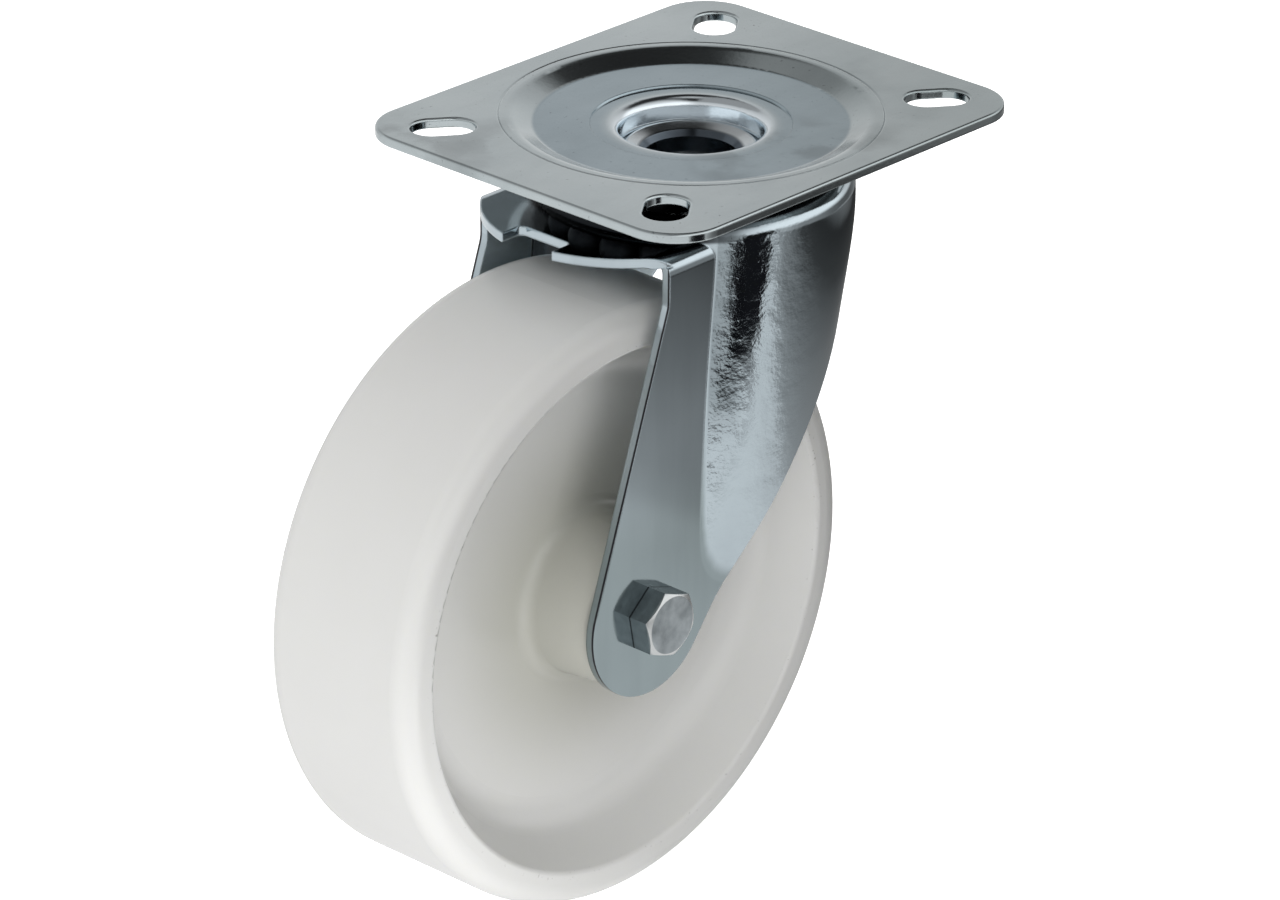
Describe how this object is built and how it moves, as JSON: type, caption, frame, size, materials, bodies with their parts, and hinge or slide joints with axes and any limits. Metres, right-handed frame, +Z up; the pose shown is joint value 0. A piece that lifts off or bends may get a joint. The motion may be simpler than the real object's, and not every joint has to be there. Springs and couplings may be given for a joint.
{
  "type": "swivel castor",
  "caption": "Swivel castor: a plain nylon wheel in a pressed steel fork that turns on two ball rows under a slotted top plate.",
  "frame": {"origin": "on the swivel axis, in the plane of the top plate's mounting face", "axes": "+Z up out of the mounting face, +X the leading side (the wheel trails to -X), Y along the axle with the bolt's head on the -Y side"},
  "size_m": [0.1928, 0.111, 0.1934],
  "materials": {
    "zinc_sheet": "bright zinc plate, smooth, slightly mottled",
    "zinc_bolt": "bright zinc plate",
    "hardened_steel": "hardened and ground, lightly oiled",
    "polyamide_wheel": "natural white polyamide, soft satin",
    "polyamide_cage": "moulded, matt",
    "polyamide_insert": "moulded, matt"
  },
  "bodies": {
    "plate": {"top_plate": "zinc_sheet", "swivel_pin": "hardened_steel", "lower_race": "zinc_sheet"},
    "upper_ball_row": {"upper_balls": "hardened_steel"},
    "lower_ball_row": {"lower_balls": "hardened_steel"},
    "fork": {"fork": "zinc_sheet", "axle_bolt": "zinc_bolt", "lock_nut": "zinc_bolt", "nut_insert": "polyamide_insert", "axle_tube": "hardened_steel", "near_washer": "zinc_sheet", "far_washer": "zinc_sheet"},
    "roller_set": {"roller_cage": "polyamide_cage", "rollers": "hardened_steel"},
    "wheel": {"wheel": "polyamide_wheel"}
  },
  "joints": [
    {"name": "swivel", "type": "hinge", "parent": "plate", "child": "fork", "pos_m": [0, 0, 0], "axis": [0, 0, 1], "continuous": true},
    {"name": "upper_row_turn", "type": "hinge", "parent": "plate", "child": "upper_ball_row", "pos_m": [0, 0, 0], "axis": [0, 0, 1], "continuous": true},
    {"name": "lower_row_turn", "type": "hinge", "parent": "plate", "child": "lower_ball_row", "pos_m": [0, 0, 0], "axis": [0, 0, 1], "continuous": true},
    {"name": "wheel_roll", "type": "hinge", "parent": "fork", "child": "wheel", "pos_m": [-0.0478, 0, -0.1134], "axis": [0, 1, 0], "continuous": true},
    {"name": "roller_set_turn", "type": "hinge", "parent": "fork", "child": "roller_set", "pos_m": [-0.0478, 0, -0.1134], "axis": [0, 1, 0], "continuous": true}
  ],
  "couplings": [
    {"joint": "upper_row_turn", "follows": "swivel", "ratio": 0.5},
    {"joint": "lower_row_turn", "follows": "swivel", "ratio": 0.5},
    {"joint": "roller_set_turn", "follows": "wheel_roll", "ratio": 0.6077}
  ]
}
